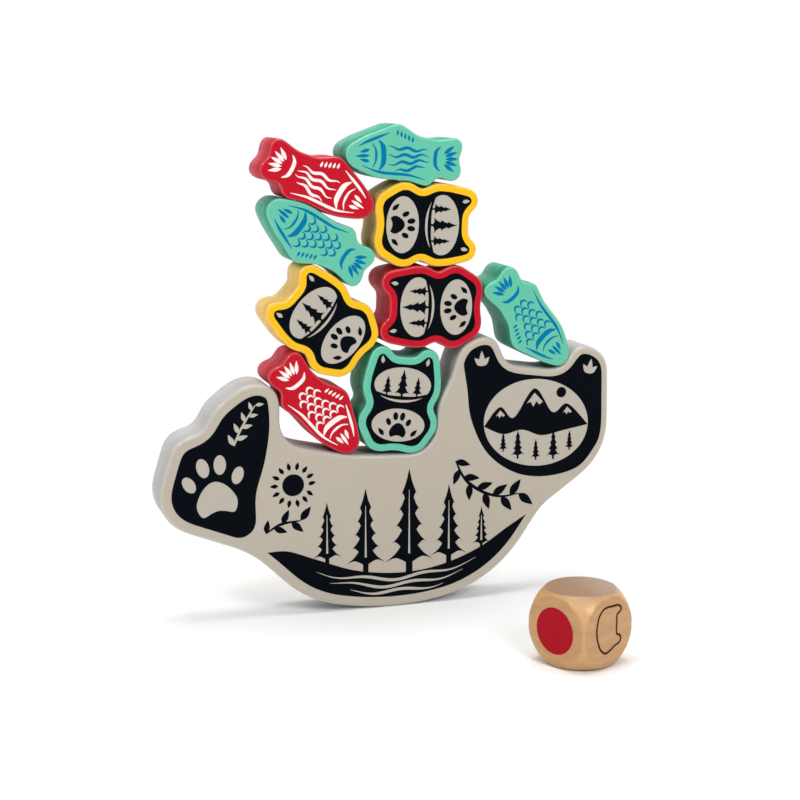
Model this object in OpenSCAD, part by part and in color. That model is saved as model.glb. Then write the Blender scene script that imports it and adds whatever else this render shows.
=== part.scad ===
// Stacking balance game: a rocking bear base that lies on its back, four bear cubs and five
// fish that are piled up on it, and one die. The flat pieces are sawn from wooden board and
// have softly rounded edges.
// X runs along the base from its feet to its head, Y runs from front to back, Z is up.
// The origin is on the table, under the lowest line of the rocker and halfway through the base.

/* [Boards] */
// Thickness of the bear base
base_t = 21.5; // [14:0.5:28]
// Thickness of the cubs
cub_t = 21.5; // [14:0.5:28]
// Thickness of the fish
fish_t = 21.5; // [14:0.5:28]
// Radius of the rounded edges of the bear base
base_edge = 2; // [1:0.1:3]
// Radius of the rounded edges of the cubs and fish
piece_edge = 1.2; // [0.6:0.1:2]
// Clearance between two pieces that lie on each other
seat_gap = 0.1; // [0.05:0.05:0.2]

/* [Bear base] */
// Radius of the rocker curve from its lowest line towards the feet
rocker_foot_r = 130; // [115:1:140]
// Angle that the rocker curve spans towards the feet
rocker_foot_a = 12; // [11:0.5:13]
// Radius of the rocker curve from its lowest line towards the head
rocker_head_r = 110; // [100:1:120]
// Angle that the rocker curve spans towards the head
rocker_head_a = 11; // [10:0.5:12]
// Distance of the foot end from the lowest line
foot_x = 101.5; // [98:0.5:108]
// Distance of the foot's inner side from the lowest line
foot_in = 50; // [48:0.5:53]
// Distance of the back of the head from the lowest line
head_x = 97.4; // [95:0.1:104]
// Width of the head with its ears
head_w = 68.5; // [66:0.5:72]
// Lean of the head
head_lean = 8; // [4:0.5:12]
// Height of the crown between the ears
crown_z = 101.5; // [98:0.5:106]
// Height that the ears rise above the crown
ear_rise = 11.6; // [8:0.1:13]
// Width of one ear
ear_w = 20; // [17:0.5:22]
// Height of the belly
belly_z = 68; // [65:0.5:71]
// Height of the upper foot
foot_z = 101; // [97:0.5:105]

/* [Cubs] */
// Width of a cub
cub_w = 34.7; // [32:0.1:38]
// Height of a cub from its feet to the tips of its ears
cub_h = 45.2; // [43:0.1:49]
// Width of a cub at its neck
cub_neck = 29.6; // [27:0.1:32]
// Height that the ears rise above the head
cub_ear = 3.8; // [2.5:0.1:5]

/* [Fish] */
// Length of a fish from its nose to its tail
fish_l = 51; // [48:0.5:54]
// Height of the body behind the head
fish_h = 19.2; // [18:0.1:21]
// Height that the back fin rises above the body
fish_fin = 4; // [2.5:0.1:5]
// Height of the tail
fish_tail = 18.6; // [17:0.1:21]

/* [Die] */
// Edge length of the die
die_a = 30; // [26:0.5:34]
// Diameter of the ball that cuts the corners of the die
die_ball = 40.5; // [38:0.5:44]
// Radius of the rounded edges of the die
die_edge = 2.5; // [1:0.1:4]
// Distance of the die from the lowest line, towards the head
die_x = 48; // [30:1:70]
// Distance of the die in front of the middle of the base
die_front = 97.7; // [80:0.1:120]
// Turn of the die
die_turn = 26; // [0:1:89]

/* [Hidden] */
beige = "#c3b9a9";
mint = "#6fcca5";
red = "#d71e2f";
yellow = "#fcc515";
wood = "#cfa46c";
// How far a chord may lie inside a round stretch
base_chord = 0.03;
piece_chord = 0.06;

// Closed outlines are made from corners [x, z, radius], taken anticlockwise
function xz(c) = [c[0], c[1]];
function unit(v) = v / norm(v);
function spin(p, a) = [p[0] * cos(a) - p[1] * sin(a), p[0] * sin(a) + p[1] * cos(a)];
function prev(i, n) = (i + n - 1) % n;
function next(i, n) = (i + 1) % n;

// Signed turn of the outline at corner b, positive where it bulges out
function turn_at(a, b, c) =
    let (u = xz(b) - xz(a), v = xz(c) - xz(b))
    atan2(u[0] * v[1] - u[1] * v[0], u * v);

// Corners with the radius as it fits: two roundings that meet on a side share its length
function fitted(corners) =
    let (n = len(corners))
    let (turns = [for (i = [0:n - 1]) turn_at(corners[prev(i, n)], corners[i], corners[next(i, n)])])
    let (tangents = [for (i = [0:n - 1]) corners[i][2] * tan(abs(turns[i]) / 2)])
    let (shares = [for (i = [0:n - 1]) let (j = next(i, n))
        min(1, 0.98 * norm(xz(corners[j]) - xz(corners[i])) / (tangents[i] + tangents[j]))])
    [for (i = [0:n - 1]) [corners[i], turns[i], corners[i][2] * min(shares[i], shares[prev(i, n)])]];

// Points of the rounding at corner b, which turns by t degrees with radius r
function rounding(a, b, t, r, chord) =
    let (u = unit(xz(b) - xz(a)), side = sign(t))
    let (start = xz(b) - u * r * tan(abs(t) / 2), centre = start + side * r * [-u[1], u[0]])
    let (n = max(1, ceil(abs(t) / (2 * acos(1 - chord / r)))))
    [for (i = [0:n]) centre + spin(start - centre, t * i / n)];

function outline(corners, chord) =
    let (n = len(corners), fit = fitted(corners))
    [for (i = [0:n - 1]) each rounding(corners[prev(i, n)], corners[i], fit[i][1], fit[i][2], chord)];

// An outline put at x, z and turned by a; a flipped one faces the other way
function placed(pts, x, z, a, flip = false) =
    let (m = [for (p = pts) spin(flip ? [-p[0], p[1]] : p, a) + [x, z]], n = len(m))
    flip ? [for (i = [0:n - 1]) m[n - 1 - i]] : m;
function turned(pts, a) = [for (p = pts) spin(p, a)];
function moved(pts, v) = [for (p = pts) p + v];
function sides(pts) = let (n = len(pts)) [for (i = [0:n - 1]) [pts[i], pts[next(i, n)]]];
function height_at(s, x) = s[0][1] + (s[1][1] - s[0][1]) * (x - s[0][0]) / (s[1][0] - s[0][0]);

// Smallest height between the underside of outline a and the upper side of outline b below it
function headroom(a, b) =
    let (under = [for (s = sides(a)) if (s[1][0] > s[0][0] + 0.000001) s])
    let (x0 = min([for (s = under) s[0][0]]), x1 = max([for (s = under) s[1][0]]))
    let (over = [for (s = sides(b)) if (s[1][0] < s[0][0] - 0.000001 && s[1][0] < x1 && s[0][0] > x0) s])
    let (gaps = [for (s = over, t = under) if (t[0][0] < s[0][0] && t[1][0] > s[1][0])
        for (x = [max(t[0][0], s[1][0]), min(t[1][0], s[0][0])])
            let (d = height_at(t, x) - height_at(s, x)) if (d > 0) d])
    len(gaps) == 0 ? 1000 : min(gaps);

// Free way of an outline towards direction d, 0 for right and 270 for down
function room(pts, rest, d) =
    let (a = turned(pts, 270 - d)) min([for (b = rest) headroom(a, turned(b, 270 - d))]) - seat_gap;
// A piece that comes from afar towards direction d until it lies on the others
function brought(pts, rest, d = 270) =
    let (far = moved(pts, spin([-500, 0], d))) moved(far, spin([room(far, rest, d), 0], d));
function left(pts) = min([for (p = pts) p[0]]);
function top(pts) = max([for (p = pts) p[1]]);

head_cx = head_x - head_w / 2 - 1.15;
head_in = head_cx - head_w / 2 - 9.45;
rocker_foot = -rocker_foot_r * tan(rocker_foot_a / 2);
rocker_head = rocker_head_r * tan(rocker_head_a / 2);
function foot_side(x) = (rocker_foot - x) * tan(rocker_foot_a);
function head_side(x) = (x - rocker_head) * tan(rocker_head_a);
function on_head(p) = concat([head_cx, crown_z] + spin(xz(p), -head_lean), p[2]);

bear_corners = [
    [rocker_head, 0, rocker_head_r],
    [44.6, head_side(44.6), 62],
    [head_x - 30.6, 39.3, 16],
    [head_x + 0.5, 61, 28],
    on_head([head_w / 2, ear_rise - 2.8, 8]),
    on_head([head_w / 2 - 16, ear_rise + 2.1, 6.5]),
    on_head([head_w / 2 - ear_w, 0, 8]),
    on_head([ear_w - head_w / 2, 0, 8]),
    on_head([16 - head_w / 2, ear_rise + 2.1, 6.5]),
    on_head([-head_w / 2, ear_rise - 3.8, 10]),
    [head_in + 6, 98, 18],
    [head_in + 0.1, 87.5, 12],
    [head_in, belly_z - 1.6, 12],
    [-20, belly_z, 60],
    [-foot_in - 1.2, belly_z + 6.8, 11],
    [-foot_in, foot_z, 9],
    [-foot_in - 15, foot_z, 12],
    [-78.5, foot_z - 9.7, 12],
    [-83.4, 81.7, 4],
    [-95.2, 78.4, 7],
    [-foot_x - 0.4, 57, 14],
    [-foot_x + 0.4, 43.5, 17],
    [-63, 28.5, 40],
    [-39.4, foot_side(-39.4), 48],
    [rocker_foot, 0, rocker_foot_r]];

// Right half of a cub, from the notch between its feet to the middle of its head.
// The origin is halfway between its eyes and its feet.
cub_low = 18.8;
cub_high = cub_h - cub_low;
cub_half = [
    [2.4, 0.9 - cub_low, 6],
    [6.2, -cub_low - 0.2, 6],
    [12.0, 1.1 - cub_low, 6],
    [cub_w / 2 + 0.4, -8, 5],
    [cub_w / 2 + 0.2, -3.2, 4],
    [cub_neck / 2 - 0.2, 1.5, 2.5],
    [cub_w / 2 + 0.2, 7.4, 8],
    [cub_w / 2 - 0.2, 14, 14],
    [14.6, cub_high - 0.4, 5],
    [8.4, cub_high + 0.5, 3.2],
    [4.4, cub_high - cub_ear, 3]];
cub_corners = concat(cub_half, [for (i = [len(cub_half) - 1:-1:0])
    [-cub_half[i][0], cub_half[i][1], cub_half[i][2]]]);

// A fish that faces right, from the underside of its nose
nose_x = 27;
tail_x = nose_x - fish_l;
fish_corners = [
    [nose_x - 0.2, -2.6, 4.5],
    [nose_x + 0.4, 3.6, 3.5],
    [20, 7.8, 20],
    [4.2, fish_h - 10 + fish_fin + 0.6, 5],
    [-4.2, fish_h - 10.9, 4],
    [-12, fish_h - 12.6, 10],
    [tail_x, fish_tail - 10.5, 3.5],
    [tail_x + 0.6, -9.2, 4],
    [tail_x + 5.5, -10.7, 6],
    [-13, -8.3, 3],
    [-8.8, -12.9, 2.5],
    [0, 9 - fish_h, 12],
    [14, 10 - fish_h, 22],
    [23.6, -5, 12]];

base_line = outline(bear_corners, base_chord);
cub_line = outline(cub_corners, piece_chord);
fish_line = outline(fish_corners, piece_chord);

// The pile, in the order in which it is built
at_fish_red_low = brought(
    placed(fish_line, 0.292 * fish_l - foot_in, foot_z - 0.191 * fish_l, -53.2), [base_line], 250);
at_cub_mint = brought(placed(cub_line, head_in - 0.489 * cub_w, 0, -7), [base_line, at_fish_red_low]);
at_cub_yellow_side = brought(
    placed(cub_line, left(at_cub_mint) - 0.324 * cub_w, 0, 47.1), [at_fish_red_low, at_cub_mint]);
at_cub_red = brought(
    placed(cub_line, left(at_cub_mint) + 1.056 * cub_w, 0, 87.8),
    [base_line, at_cub_mint, at_cub_yellow_side]);
at_fish_mint_right = brought(
    placed(fish_line, head_cx - 0.059 * fish_l, 0, 132.9, true), [base_line, at_cub_red]);
at_cub_yellow_top = brought(
    placed(cub_line, left(at_cub_red) + 0.368 * cub_h, 0, -92.1), [at_cub_red, at_cub_yellow_side]);
top_x = left(at_cub_yellow_top);
at_fish_mint_left = brought(
    placed(fish_line, top_x - 0.441 * fish_l, top(at_cub_yellow_side) + 0.177 * fish_l, 142.8),
    [at_cub_yellow_side, at_cub_yellow_top], 300);
at_fish_red_top = brought(
    placed(fish_line, top_x - 0.476 * fish_l, 0, -30.3), [at_fish_mint_left, at_cub_yellow_top]);
at_fish_mint_top = brought(
    placed(fish_line, top_x + 0.296 * fish_l, 0, -1.1, true), [at_cub_yellow_top, at_fish_red_top]);

function outward(pts) = let (n = len(pts)) [for (i = [0:n - 1])
    let (u = unit(pts[i] - pts[prev(i, n)]), v = unit(pts[next(i, n)] - pts[i]))
    let (m = unit(u + v)) [m[1], -m[0]] / (m * v)];

// Board of thickness t sawn to an outline, with its long edges rounded
module board(pts, t, edge, steps) {
    n = len(pts);
    out = outward(pts);
    quarter = [for (i = [0:steps]) 90 * i / steps];
    rings = concat(
        [for (a = [for (i = [steps:-1:0]) quarter[i]]) [edge * (1 - cos(a)), edge * (1 - sin(a)) - t / 2]],
        [for (a = quarter) [edge * (1 - cos(a)), t / 2 - edge * (1 - sin(a))]]);
    last = len(rings) - 1;
    points = [for (r = rings, i = [0:n - 1]) let (p = pts[i] - out[i] * r[0]) [p[0], r[1], p[1]]];
    walls = [for (k = [0:last - 1], i = [0:n - 1])
        let (a = k * n + i, b = k * n + next(i, n)) each [[a, b, b + n], [a, b + n, a + n]]];
    caps = [[for (i = [n - 1:-1:0]) i], [for (i = [0:n - 1]) last * n + i]];
    polyhedron(points, concat(walls, caps), convexity = 8);
}

module cub(pts, paint) {
    color(paint) board(pts, cub_t, piece_edge, 2);
}

module fish(pts, paint) {
    color(paint) board(pts, fish_t, piece_edge, 2);
}

module bear_base() {
    color(beige) board(base_line, base_t, base_edge, 3);
}

module die() {
    color(wood) translate([die_x, -die_front, die_a / 2]) rotate([0, 0, die_turn]) minkowski() {
        intersection() {
            cube(die_a - 2 * die_edge, center = true);
            sphere(d = die_ball - 2 * die_edge, $fn = 48);
        }
        sphere(r = die_edge, $fn = 16);
    }
}

bear_base();
cub(at_cub_mint, mint);  // cub_mint
cub(at_cub_red, red);  // cub_red
cub(at_cub_yellow_top, yellow);  // cub_yellow_top
cub(at_cub_yellow_side, yellow);  // cub_yellow_side
fish(at_fish_red_low, red);  // fish_red_low
fish(at_fish_mint_right, mint);  // fish_mint_right
fish(at_fish_mint_left, mint);  // fish_mint_left
fish(at_fish_red_top, red);  // fish_red_top
fish(at_fish_mint_top, mint);  // fish_mint_top
die();
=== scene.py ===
"""Looks of a wooden stacking balance game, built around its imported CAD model.

Every board keeps the outline of its CAD node and gets smooth shading, paint and print.
Lengths are in millimetres in the code and turn into metres where a mesh is made.
"""

import logging
import math
from dataclasses import dataclass
from enum import Enum
from typing import Any, Protocol, Sequence

import bmesh
import bpy
from mathutils import Euler, Matrix, Vector
from mathutils.geometry import delaunay_2d_cdt
from mathutils.kdtree import KDTree


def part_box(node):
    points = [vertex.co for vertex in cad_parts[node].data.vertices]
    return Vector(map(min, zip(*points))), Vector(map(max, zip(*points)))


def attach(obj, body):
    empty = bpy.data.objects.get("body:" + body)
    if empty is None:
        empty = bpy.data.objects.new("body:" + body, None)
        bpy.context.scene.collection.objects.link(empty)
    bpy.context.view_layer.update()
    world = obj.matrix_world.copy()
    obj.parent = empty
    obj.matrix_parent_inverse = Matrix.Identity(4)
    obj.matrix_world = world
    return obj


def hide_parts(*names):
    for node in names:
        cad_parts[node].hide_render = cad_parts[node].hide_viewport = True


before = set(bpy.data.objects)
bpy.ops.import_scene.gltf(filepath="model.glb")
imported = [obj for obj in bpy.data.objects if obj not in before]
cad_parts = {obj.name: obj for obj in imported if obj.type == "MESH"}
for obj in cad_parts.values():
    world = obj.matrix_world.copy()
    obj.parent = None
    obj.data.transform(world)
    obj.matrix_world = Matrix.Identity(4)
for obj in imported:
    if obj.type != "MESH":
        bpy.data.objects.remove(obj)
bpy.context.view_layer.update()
LOG = logging.getLogger("stacking_game")
BODY = "root"
Point = tuple[float, float]
Loop = list[Point]
Spot = tuple[float, float, float]
Screen = tuple[float, float, float]

# The screen's white.
WHITE = (255, 255, 255)

# Metres in a millimetre.
MM = 0.001

# Metres within which two corners are one, and within which a corner lies on a board's face.
WELD = 1e-6
FLAT = 5e-6

# Millimetres between two points of an even outline, within which two points of a print are one,
# and by which a point of an inset line may come closer to the outline than the inset's depth.
STEP = 0.3
JOIN = 1e-5
INSET_SLACK = 0.02


class Ink(Enum):
    """The printing inks, by what they are printed for."""

    NAVY = "navy"
    STONE = "stone"
    BLUE = "blue"
    WHITE = "white"
    BARK = "bark"
    SPOT_RED = "spot_red"
    SPOT_YELLOW = "spot_yellow"
    SPOT_MINT = "spot_mint"


@dataclass(frozen=True)
class Colour:
    """Screen colours of one paint, each of 0 to 255.

    Attributes:
        face: the thick paint of the printed face.
        side: the thin paint of the sawn sides.
        grain: the grain that shows through it.
    """

    face: Screen
    side: Screen
    grain: Screen


COLOURS = {
    "base_paint": Colour((190, 181, 166), (184, 184, 184), (171, 169, 167)),
    "mint_paint": Colour((105, 198, 168), (62, 174, 143), (26, 110, 86)),
    "yellow_paint": Colour((248, 194, 24), (248, 206, 108), (214, 160, 70)),
    "red_paint": Colour((196, 22, 42), (200, 22, 44), (144, 8, 22)),
}
INKS = {
    Ink.NAVY: (3, 8, 15),
    Ink.STONE: (188, 181, 169),
    Ink.BLUE: (0, 120, 168),
    Ink.WHITE: (250, 240, 236),
    Ink.BARK: (66, 38, 20),
    Ink.SPOT_RED: (168, 20, 36),
    Ink.SPOT_YELLOW: (236, 186, 40),
    Ink.SPOT_MINT: (96, 184, 150),
}


def linear(colour: Screen) -> tuple[float, float, float, float]:
    """Turns a screen colour into the linear colour that a shader takes.

    Args:
        colour: its red, green and blue parts, 0 to 255.

    Returns:
        The linear parts and full opacity.
    """

    def channel(part: float) -> float:
        """One part of 0 to 1, by the standard curve of screens."""
        return part / 12.92 if part <= 0.04045 else ((part + 0.055) / 1.055) ** 2.4

    return (*(channel(part / 255) for part in colour), 1.0)


def towards(start: Screen, stop: Screen, share: float) -> Screen:
    """The screen colour at a share of the way from start to stop."""
    return tuple(part + (goal - part) * share for part, goal in zip(start, stop))


def curve(points: Sequence[Point], closed: bool = False, steps: int = 8) -> Loop:
    """Draws an even curve through the points.

    Args:
        points: the points that it passes.
        closed: whether it comes back to its first point.
        steps: chords between two neighbouring points.

    Returns:
        The points of the curve; an open one includes both ends.
    """
    count = len(points)
    last = count if closed else count - 1

    def at(index: int) -> Vector:
        """The point of that number, counted round a closed curve and held at an open one's ends."""
        return Vector(points[index % count if closed else min(max(index, 0), count - 1)])

    line: Loop = []
    for index in range(last):
        before, start, stop, after = (at(index + shift) for shift in (-1, 0, 1, 2))
        for step in range(steps):
            t = step / steps
            spot = 0.5 * (
                2 * start
                + (stop - before) * t
                + (2 * before - 5 * start + 4 * stop - after) * t * t
                + (3 * start - before - 3 * stop + after) * t * t * t
            )
            line.append((spot.x, spot.y))
    if not closed:
        line.append((points[-1][0], points[-1][1]))
    return line


def shape(*strokes: Sequence[Point]) -> Loop:
    """Joins curves that meet at sharp corners into one closed outline.

    Args:
        *strokes: the points of each curve; the last point of one is the first of the next.

    Returns:
        The outline.
    """
    line: Loop = []
    for stroke in strokes:
        line.extend(curve(stroke)[:-1])
    return line


def oval(x: float, z: float, wide: float, high: float, turn: float = 0.0, steps: int = 56) -> Loop:
    """An ellipse.

    Args:
        x: its middle.
        z: its middle.
        wide: half its width.
        high: half its height.
        turn: degrees that it is turned anticlockwise.
        steps: number of its points.

    Returns:
        Its outline.
    """
    a = math.radians(turn)
    ring: Loop = []
    for step in range(steps):
        t = 2 * math.pi * step / steps
        u, v = wide * math.cos(t), high * math.sin(t)
        ring.append((x + u * math.cos(a) - v * math.sin(a), z + u * math.sin(a) + v * math.cos(a)))
    return ring


def ribbon(points: Sequence[Point], widths: Sequence[float]) -> Loop:
    """A band along a curve.

    Args:
        points: the points that its middle line passes.
        widths: its full width at even steps along it, from one end to the other.

    Returns:
        Its outline.
    """
    line = [Vector(point) for point in curve(points)]
    left: Loop = []
    right: Loop = []
    for index, spot in enumerate(line):
        ahead = line[min(index + 1, len(line) - 1)] - line[max(index - 1, 0)]
        side = Vector((-ahead.y, ahead.x)).normalized()
        place = index / (len(line) - 1) * (len(widths) - 1)
        low = min(int(place), len(widths) - 2)
        half = (widths[low] + (widths[low + 1] - widths[low]) * (place - low)) / 2
        left.append(tuple(spot + side * half))
        right.append(tuple(spot - side * half))
    return right + left[::-1]


def leaf(length: float, width: float) -> Loop:
    """A pointed leaf that lies along +x from the origin.

    Args:
        length: from its stalk to its tip.
        width: at its middle.

    Returns:
        Its outline.
    """
    half = width / 2
    parts = ((0, 0), (0.25, -0.86), (0.5, -1), (0.8, -0.5), (1, 0))
    lower = [(along * length, out * half) for along, out in parts]
    return shape(lower, [(x, -z) for x, z in reversed(lower)])


def pine(x: float, z: float, height: float, width: float, tiers: int = 4) -> Loop:
    """A pine with drooping tiers.

    Args:
        x: the foot of its trunk.
        z: the foot of its trunk.
        height: from its foot to its tip.
        width: across its lowest tier.
        tiers: number of its tiers.

    Returns:
        Its outline.
    """
    trunk = 0.07 * width
    foot = 0.12 * height
    crown = 0.86 * (height - foot)
    taper, waist, curl = 0.8, 0.36, 0.38
    droop, lift = 0.045 * height, 0.01 * height
    right: list[list[Point]] = [[(0, 0), (trunk, 0)], [(trunk, 0), (trunk, foot)]]
    start: Point = (trunk, foot)
    for tier in range(tiers):
        part = tier / tiers
        reach = width / 2 * (1 - taper * part)
        level = foot + crown * part
        tip = (reach, level + lift)
        right.append([start, ((start[0] + tip[0]) / 2, level + droop), tip])
        end: Point = (0, height) if tier == tiers - 1 else (reach * waist, level + crown / tiers)
        middle = (end[0] + (tip[0] - end[0]) * curl, (tip[1] + end[1]) / 2)
        right.append([tip, middle, end])
        start = end
    left = [[(-a, b) for a, b in reversed(stroke)] for stroke in reversed(right)]
    return [(x + a, z + b) for a, b in shape(*right, *left)]


def paw(x: float, z: float, size: float, turn: float = 0.0) -> list[Loop]:
    """A paw print with one pad and four toes.

    Args:
        x: the middle of the pad.
        z: the middle of the pad.
        size: width of the pad.
        turn: degrees that it is turned anticlockwise.

    Returns:
        The outlines of the pad and the toes.
    """
    half = [(0.0, 0.40), (0.30, 0.24), (0.50, -0.12), (0.40, -0.42), (0.16, -0.36)]
    heel = (0.0, -0.33)
    toes = ((0.21, 0.78, 0.15, 0.24, 8), (0.60, 0.44, 0.14, 0.22, 26))
    loops = [curve(half + [heel] + [(-a, b) for a, b in reversed(half[1:])], closed=True)]
    for side in (-1, 1):
        loops.extend(oval(side * a, b, wide, high, -side * lean) for a, b, wide, high, lean in toes)
    return [moved(loop, x, z, turn, size) for loop in loops]


def moved(loop: Loop, x: float, z: float, turn: float = 0.0, size: float = 1.0) -> Loop:
    """An outline scaled by size, turned by turn degrees and shifted by x, z."""
    c, s = size * math.cos(math.radians(turn)), size * math.sin(math.radians(turn))
    return [(x + a * c - b * s, z + a * s + b * c) for a, b in loop]


def dense(loop: Loop) -> list[Vector]:
    """Steps evenly along an outline.

    Args:
        loop: a closed outline.

    Returns:
        Its corners, and points at even steps between them.
    """
    spots: list[Vector] = []
    for start, stop in zip(loop, loop[1:] + loop[:1]):
        a, b = Vector(start), Vector(stop)
        parts = max(1, round((b - a).length / STEP))
        spots.extend(a.lerp(b, part / parts) for part in range(parts))
    return spots


def outward(spots: Sequence[Vector]) -> list[Vector]:
    """Finds the way out of an outline.

    Args:
        spots: even points, anticlockwise.

    Returns:
        At each point, the direction straight out.
    """
    count = len(spots)
    aheads = [spots[(index + 2) % count] - spots[index - 2] for index in range(count)]
    return [Vector((ahead.y, -ahead.x)).normalized() for ahead in aheads]


def inset(loop: Loop, depth: float) -> Loop:
    """The line that runs inside an outline.

    Args:
        loop: an anticlockwise outline.
        depth: distance between the two; one below 0 gives the line outside.

    Returns:
        The line's points, without those that another part of the outline comes closer to.
    """
    spots = dense(loop)
    tree = KDTree(len(spots))
    for index, spot in enumerate(spots):
        tree.insert((spot.x, spot.y, 0), index)
    tree.balance()
    line: Loop = []
    for spot, out in zip(spots, outward(spots)):
        inner = spot - out * depth
        _, _, distance = tree.find((inner.x, inner.y, 0))
        if distance > depth - INSET_SLACK:
            line.append((inner.x, inner.y))
    return line


def soften(loop: Loop, reach: float) -> Loop:
    """Rounds an outline's corners by averaging each point with its neighbours.

    Args:
        loop: a closed outline.
        reach: distance to the farthest neighbours that count.

    Returns:
        The rounded outline, with even points.
    """
    spots = dense(loop)
    span = max(1, round(reach / STEP))
    line: Loop = []
    for index in range(len(spots)):
        near = [spots[(index + shift) % len(spots)] for shift in range(-span, span + 1)]
        middle = sum(near, Vector((0, 0))) / len(near)
        line.append((middle.x, middle.y))
    return line


def encloses(loop: Loop, point: Vector) -> bool:
    """Tells whether a point lies inside an outline.

    Args:
        loop: a closed outline.
        point: the point.

    Returns:
        Whether a ray from the point to the right crosses an odd number of the outline's sides.
    """
    inside = False
    for (ax, az), (bx, bz) in zip(loop, loop[1:] + loop[:1]):
        passes = (az > point.y) != (bz > point.y)
        if passes and point.x < ax + (bx - ax) * (point.y - az) / (bz - az):
            inside = not inside
    return inside


def nearest(loop: Loop, point: Point) -> int:
    """Number of the outline's point that is nearest to a point."""
    return min(range(len(loop)), key=lambda index: math.dist(loop[index], point))


def stretch(loop: Loop, start: Point, stop: Point) -> Loop:
    """The part of an outline from nearest start to nearest stop, anticlockwise."""
    a, b = nearest(loop, start), nearest(loop, stop)
    return loop[a : b + 1] if a <= b else loop[a:] + loop[: b + 1]


class Graph:
    """A node tree and the short calls that add its nodes."""

    def __init__(self, tree: bpy.types.NodeTree) -> None:
        """Takes over a tree and empties it."""
        self.tree = tree
        self.tree.nodes.clear()

    def feed(self, socket: bpy.types.NodeSocket, value: Any) -> None:
        """Gives an input its value.

        Args:
            socket: the input.
            value: a Value or an output to link, a constant to set, or None to leave it as it is.
        """
        source = value.socket if isinstance(value, Value) else value
        if isinstance(source, bpy.types.NodeSocket):
            self.tree.links.new(source, socket)
        elif source is not None:
            socket.default_value = source

    def node(self, kind: str, inputs: dict[str, Any] | None = None, **settings: Any) -> bpy.types.Node:
        """Adds a node.

        Args:
            kind: Blender's name of the node type.
            inputs: what its inputs get, by their names.
            **settings: attributes of the node, set before its inputs.

        Returns:
            The node.
        """
        node = self.tree.nodes.new(kind)
        for name, value in settings.items():
            setattr(node, name, value)
        for name, value in (inputs or {}).items():
            socket = next(item for item in node.inputs if item.enabled and item.name == name)
            self.feed(socket, value)
        return node

    def calc(self, operation: str, first: Any, second: Any = 0.0) -> bpy.types.NodeSocket:
        """Adds a Math node.

        Args:
            operation: what it does.
            first: an output or a number.
            second: the same.

        Returns:
            The result.
        """
        node = self.node("ShaderNodeMath", operation=operation)
        for socket, value in zip(node.inputs, (first, second)):
            self.feed(socket, value)
        return node.outputs[0]

    def mix(self, *inputs: Any) -> bpy.types.NodeSocket:
        """Mixes two surfaces or lights.

        Args:
            *inputs: the share of the second one, the first one and the second one.

        Returns:
            The mixture.
        """
        node = self.node("ShaderNodeMixShader")
        for socket, value in zip(node.inputs, inputs):
            self.feed(socket, value)
        return node.outputs[0]


class Value:
    """A socket of a shader tree, with arithmetic that adds the nodes it needs."""

    def __init__(self, shader: "Shader", socket: bpy.types.NodeSocket) -> None:
        """Keeps an output and the shader that it belongs to."""
        self.shader = shader
        self.socket = socket

    def _math(self, operation: str, *others: Any) -> "Value":
        """Adds a Math node that takes this value and the others."""
        return self.shader.add("ShaderNodeMath", self, *others, operation=operation)

    def __add__(self, other: Any) -> "Value":
        """The sum of this value and another."""
        return self._math("ADD", other)

    def __mul__(self, other: Any) -> "Value":
        """The product of this value and another."""
        return self._math("MULTIPLY", other)

    def size(self) -> "Value":
        """The value without its sign."""
        return self._math("ABSOLUTE")

    def most(self, other: Any) -> "Value":
        """The larger of this value and another."""
        return self._math("MAXIMUM", other)

    def ramp(self, start: float, stop: float, low: float = 0.0, high: float = 1.0) -> "Value":
        """Eases from low to high while the value goes from start to stop."""
        limits = (start, stop, low, high)
        return self.shader.add("ShaderNodeMapRange", self, *limits, interpolation_type="SMOOTHSTEP")


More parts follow.
